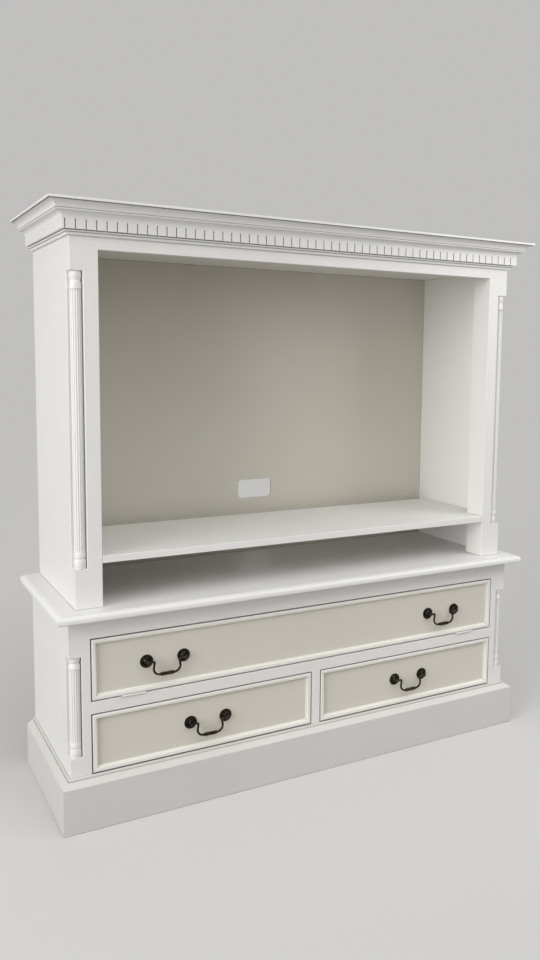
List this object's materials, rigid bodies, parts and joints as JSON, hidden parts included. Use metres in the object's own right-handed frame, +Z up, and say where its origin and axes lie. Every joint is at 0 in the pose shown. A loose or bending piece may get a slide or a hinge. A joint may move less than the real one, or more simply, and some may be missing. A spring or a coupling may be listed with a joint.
{
  "type": "tv unit",
  "caption": "Painted tv unit: a base with a drop-down flap over drawers, and a hutch with a screen niche, a shelf, an open bay and a dentil cornice.",
  "frame": {"origin": "centre of the footprint on the floor, midway between the flat back and the front edge of the cornice", "axes": "+X to the right as seen from the front, +Y to the wall behind the unit (the front faces -Y), +Z up"},
  "size_m": [1.518, 0.488, 1.6],
  "materials": {
    "white_paint": "satin paint, off-white",
    "cream_paint": "satin paint, cream",
    "greige_paint": "satin paint, greige",
    "back_paint": "matte paint, beige",
    "inner_paint": "matte paint, off-white",
    "bare_wood": "planed, clear sealed",
    "dark_bronze": "antique bronze, semi-gloss",
    "painted_hinge": "satin paint, off-white",
    "bright_steel": "zinc plated",
    "catch_plastic": "matte, moulded"
  },
  "bodies": {
    "case": {"plinth_front": "white_paint", "plinth_sides": "white_paint", "plinth_bearers": "bare_wood", "base_side_left": "white_paint", "base_side_right": "white_paint", "base_posts": "white_paint", "base_columns": "white_paint", "base_rail_top": "white_paint", "base_rail_mid": "white_paint", "base_muntin": "white_paint", "bottom_board": "inner_paint", "compartment_floor": "inner_paint", "drawer_partition": "inner_paint", "base_back_panel": "back_paint", "counter_top": "white_paint", "runner_packers": "bare_wood", "drawer_runners": "bare_wood", "hutch_side_left": "white_paint", "hutch_side_right": "white_paint", "hutch_posts": "white_paint", "hutch_columns": "white_paint", "hutch_top_rail": "white_paint", "hutch_top_board": "inner_paint", "hutch_back_panel": "back_paint", "cornice_cover_board": "white_paint", "tv_shelf": "white_paint", "shelf_cleats": "white_paint", "cornice_crown": "white_paint", "cornice_dentils": "white_paint", "cornice_bed_moulding": "white_paint", "flap_hinge_case_leaves": "painted_hinge", "flap_hinge_pins": "bright_steel", "stay_blocks": "inner_paint", "stay_pegs": "bright_steel", "flap_catches": "catch_plastic"},
    "flap": {"flap_panel": "greige_paint", "flap_moulding": "cream_paint", "flap_hinge_flap_leaves": "painted_hinge", "flap_stay_brackets": "bright_steel", "flap_catch_plates": "bright_steel", "flap_handle_posts": "dark_bronze"},
    "stay_left": {"flap_stay_left": "bright_steel"},
    "stay_right": {"flap_stay_right": "bright_steel"},
    "flap_bail_left": {"flap_bail_left": "dark_bronze"},
    "flap_bail_right": {"flap_bail_right": "dark_bronze"},
    "drawer_left": {"drawer_left_front": "greige_paint", "drawer_left_moulding": "cream_paint", "drawer_left_sides": "bare_wood", "drawer_left_back": "bare_wood", "drawer_left_bottom": "bare_wood", "drawer_left_handle_posts": "dark_bronze"},
    "drawer_left_bail": {"drawer_left_bail": "dark_bronze"},
    "drawer_right": {"drawer_right_front": "greige_paint", "drawer_right_moulding": "cream_paint", "drawer_right_sides": "bare_wood", "drawer_right_back": "bare_wood", "drawer_right_bottom": "bare_wood", "drawer_right_handle_posts": "dark_bronze"},
    "drawer_right_bail": {"drawer_right_bail": "dark_bronze"}
  },
  "joints": [
    {"name": "flap_hinge", "type": "hinge", "parent": "case", "child": "flap", "pos_m": [0, -0.1985, 0.337], "axis": [1, 0, 0], "range_deg": [0, 90]},
    {"name": "stay_left_pivot", "type": "hinge", "parent": "flap", "child": "stay_left", "pos_m": [-0.6515, -0.1615, 0.47202], "axis": [1, 0, 0], "range_deg": [-45, 0]},
    {"name": "stay_right_pivot", "type": "hinge", "parent": "flap", "child": "stay_right", "pos_m": [0.6515, -0.1615, 0.47202], "axis": [1, 0, 0], "range_deg": [-45, 0]},
    {"name": "drawer_left_slide", "type": "slide", "parent": "case", "child": "drawer_left", "axis": [0, -1, 0], "range_m": [0, 0.3]},
    {"name": "drawer_right_slide", "type": "slide", "parent": "case", "child": "drawer_right", "axis": [0, -1, 0], "range_m": [0, 0.3]},
    {"name": "flap_bail_left_swing", "type": "hinge", "parent": "flap", "child": "flap_bail_left", "pos_m": [-0.4635, -0.204, 0.4175], "axis": [-1, 0, 0], "range_deg": [0, 90]},
    {"name": "flap_bail_right_swing", "type": "hinge", "parent": "flap", "child": "flap_bail_right", "pos_m": [0.4635, -0.204, 0.4175], "axis": [-1, 0, 0], "range_deg": [0, 90]},
    {"name": "drawer_left_bail_swing", "type": "hinge", "parent": "drawer_left", "child": "drawer_left_bail", "pos_m": [-0.34, -0.204, 0.222], "axis": [-1, 0, 0], "range_deg": [0, 90]},
    {"name": "drawer_right_bail_swing", "type": "hinge", "parent": "drawer_right", "child": "drawer_right_bail", "pos_m": [0.34, -0.204, 0.222], "axis": [-1, 0, 0], "range_deg": [0, 90]}
  ],
  "couplings": [
    {"joint": "stay_left_pivot", "follows": "flap_hinge", "ratio": -0.5},
    {"joint": "stay_right_pivot", "follows": "flap_hinge", "ratio": -0.5}
  ]
}
